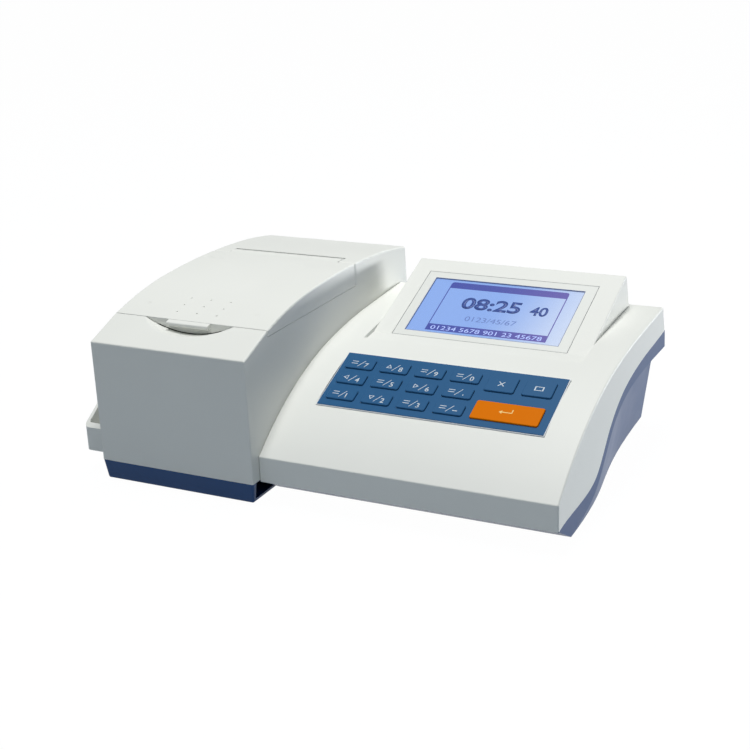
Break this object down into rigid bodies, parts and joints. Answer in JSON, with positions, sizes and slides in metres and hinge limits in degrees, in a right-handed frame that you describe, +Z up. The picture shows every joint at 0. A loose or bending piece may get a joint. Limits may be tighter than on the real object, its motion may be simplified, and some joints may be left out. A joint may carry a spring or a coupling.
{
  "type": "turbidity meter",
  "caption": "Bench turbidity meter with a hinged chamber lid over a sample well, a raised display, a sloping keypad, an open side tray and a one-piece dark base.",
  "frame": {"origin": "on the bench under the middle of the instrument's box", "axes": "+Z up, +Y from the keypad side towards the rear sockets, +X from the chamber towards the console"},
  "size_m": [0.3382, 0.237, 0.1223],
  "materials": {
    "shell_white": "fine satin texture",
    "base_blue": "smooth satin",
    "bezel_grey": "printed sheet, satin",
    "window_clear": "clear, polished",
    "lcd_blue": "lit display, smooth",
    "keypad_blue": "printed sheet, satin",
    "key_blue": "satin",
    "enter_orange": "satin",
    "carrier_pale": "satin",
    "inner_black": "matt",
    "seal_foam": "foam",
    "holder_alloy": "black anodised",
    "lens_glass": "clear",
    "board_green": "satin lacquer",
    "can_steel": "tinned",
    "screw_steel": "zinc plated",
    "pin_steel": "ground",
    "cable_grey": "flat ribbon",
    "port_metal": "plated",
    "rocker_black": "smooth",
    "foot_rubber": "matt"
  },
  "bodies": {
    "instrument": {"base_tray": "base_blue", "chamber_housing": "shell_white", "side_tray": "shell_white", "tray_screws": "screw_steel", "console_cover": "shell_white", "hinge_pin": "pin_steel", "chamber_deck": "inner_black", "well_collar": "inner_black", "cell_holder": "holder_alloy", "lamp_tube": "inner_black", "transmission_tube": "inner_black", "scatter_tube": "inner_black", "lamp_lens": "lens_glass", "lamp_module": "board_green", "transmission_detector": "board_green", "scatter_detector": "board_green", "display_bezel": "bezel_grey", "display_window": "window_clear", "display_glass": "lcd_blue", "display_module": "board_green", "module_screws": "screw_steel", "keypad_overlay": "keypad_blue", "keypad_carrier": "carrier_pale", "key_switches": "inner_black", "keypad_board": "board_green", "main_board": "board_green", "board_chips": "inner_black", "clock_battery": "can_steel", "optics_board": "board_green", "preamp_shield": "can_steel", "board_screws": "screw_steel", "signal_cable": "cable_grey", "serial_port": "port_metal", "power_jack": "inner_black", "switch_frame": "inner_black", "base_screws": "screw_steel", "rubber_feet": "foot_rubber"},
    "lid": {"chamber_lid": "shell_white", "lid_liner": "inner_black", "liner_screws": "screw_steel", "light_seal": "seal_foam"},
    "key_1_cap": {"key_1": "key_blue"},
    "key_2_cap": {"key_2": "key_blue"},
    "key_3_cap": {"key_3": "key_blue"},
    "key_minus_cap": {"key_minus": "key_blue"},
    "key_4_cap": {"key_4": "key_blue"},
    "key_5_cap": {"key_5": "key_blue"},
    "key_6_cap": {"key_6": "key_blue"},
    "key_point_cap": {"key_point": "key_blue"},
    "key_7_cap": {"key_7": "key_blue"},
    "key_8_cap": {"key_8": "key_blue"},
    "key_9_cap": {"key_9": "key_blue"},
    "key_0_cap": {"key_0": "key_blue"},
    "key_clear_cap": {"key_clear": "key_blue"},
    "key_cancel_cap": {"key_cancel": "key_blue"},
    "key_enter_cap": {"key_enter": "enter_orange"},
    "rocker": {"power_rocker": "rocker_black"}
  },
  "joints": [
    {"name": "lid_hinge", "type": "hinge", "parent": "instrument", "child": "lid", "pos_m": [-0.08925, 0.0383, 0.1176], "axis": [-1, 0, 0], "range_deg": [0, 100]},
    {"name": "key_1_press", "type": "slide", "parent": "instrument", "child": "key_1_cap", "axis": [0, 0.3714, -0.9285], "range_m": [0, 0.0008], "stiffness_N_per_m": 2500, "springref_m": -0.0001},
    {"name": "key_2_press", "type": "slide", "parent": "instrument", "child": "key_2_cap", "axis": [0, 0.3714, -0.9285], "range_m": [0, 0.0008], "stiffness_N_per_m": 2500, "springref_m": -0.0001},
    {"name": "key_3_press", "type": "slide", "parent": "instrument", "child": "key_3_cap", "axis": [0, 0.3714, -0.9285], "range_m": [0, 0.0008], "stiffness_N_per_m": 2500, "springref_m": -0.0001},
    {"name": "key_minus_press", "type": "slide", "parent": "instrument", "child": "key_minus_cap", "axis": [0, 0.3714, -0.9285], "range_m": [0, 0.0008], "stiffness_N_per_m": 2500, "springref_m": -0.0001},
    {"name": "key_4_press", "type": "slide", "parent": "instrument", "child": "key_4_cap", "axis": [0, 0.3714, -0.9285], "range_m": [0, 0.0008], "stiffness_N_per_m": 2500, "springref_m": -0.0001},
    {"name": "key_5_press", "type": "slide", "parent": "instrument", "child": "key_5_cap", "axis": [0, 0.3714, -0.9285], "range_m": [0, 0.0008], "stiffness_N_per_m": 2500, "springref_m": -0.0001},
    {"name": "key_6_press", "type": "slide", "parent": "instrument", "child": "key_6_cap", "axis": [0, 0.3714, -0.9285], "range_m": [0, 0.0008], "stiffness_N_per_m": 2500, "springref_m": -0.0001},
    {"name": "key_point_press", "type": "slide", "parent": "instrument", "child": "key_point_cap", "axis": [0, 0.3714, -0.9285], "range_m": [0, 0.0008], "stiffness_N_per_m": 2500, "springref_m": -0.0001},
    {"name": "key_7_press", "type": "slide", "parent": "instrument", "child": "key_7_cap", "axis": [0, 0.3714, -0.9285], "range_m": [0, 0.0008], "stiffness_N_per_m": 2500, "springref_m": -0.0001},
    {"name": "key_8_press", "type": "slide", "parent": "instrument", "child": "key_8_cap", "axis": [0, 0.3714, -0.9285], "range_m": [0, 0.0008], "stiffness_N_per_m": 2500, "springref_m": -0.0001},
    {"name": "key_9_press", "type": "slide", "parent": "instrument", "child": "key_9_cap", "axis": [0, 0.3714, -0.9285], "range_m": [0, 0.0008], "stiffness_N_per_m": 2500, "springref_m": -0.0001},
    {"name": "key_0_press", "type": "slide", "parent": "instrument", "child": "key_0_cap", "axis": [0, 0.3714, -0.9285], "range_m": [0, 0.0008], "stiffness_N_per_m": 2500, "springref_m": -0.0001},
    {"name": "key_clear_press", "type": "slide", "parent": "instrument", "child": "key_clear_cap", "axis": [0, 0.3714, -0.9285], "range_m": [0, 0.0008], "stiffness_N_per_m": 2500, "springref_m": -0.0001},
    {"name": "key_cancel_press", "type": "slide", "parent": "instrument", "child": "key_cancel_cap", "axis": [0, 0.3714, -0.9285], "range_m": [0, 0.0008], "stiffness_N_per_m": 2500, "springref_m": -0.0001},
    {"name": "key_enter_press", "type": "slide", "parent": "instrument", "child": "key_enter_cap", "axis": [0, 0.3714, -0.9285], "range_m": [0, 0.0008], "stiffness_N_per_m": 2500, "springref_m": -0.0001},
    {"name": "rocker_tilt", "type": "hinge", "parent": "instrument", "child": "rocker", "pos_m": [0.0624, 0.1045, 0.037], "axis": [1, 0, 0], "range_deg": [0, 8]}
  ]
}
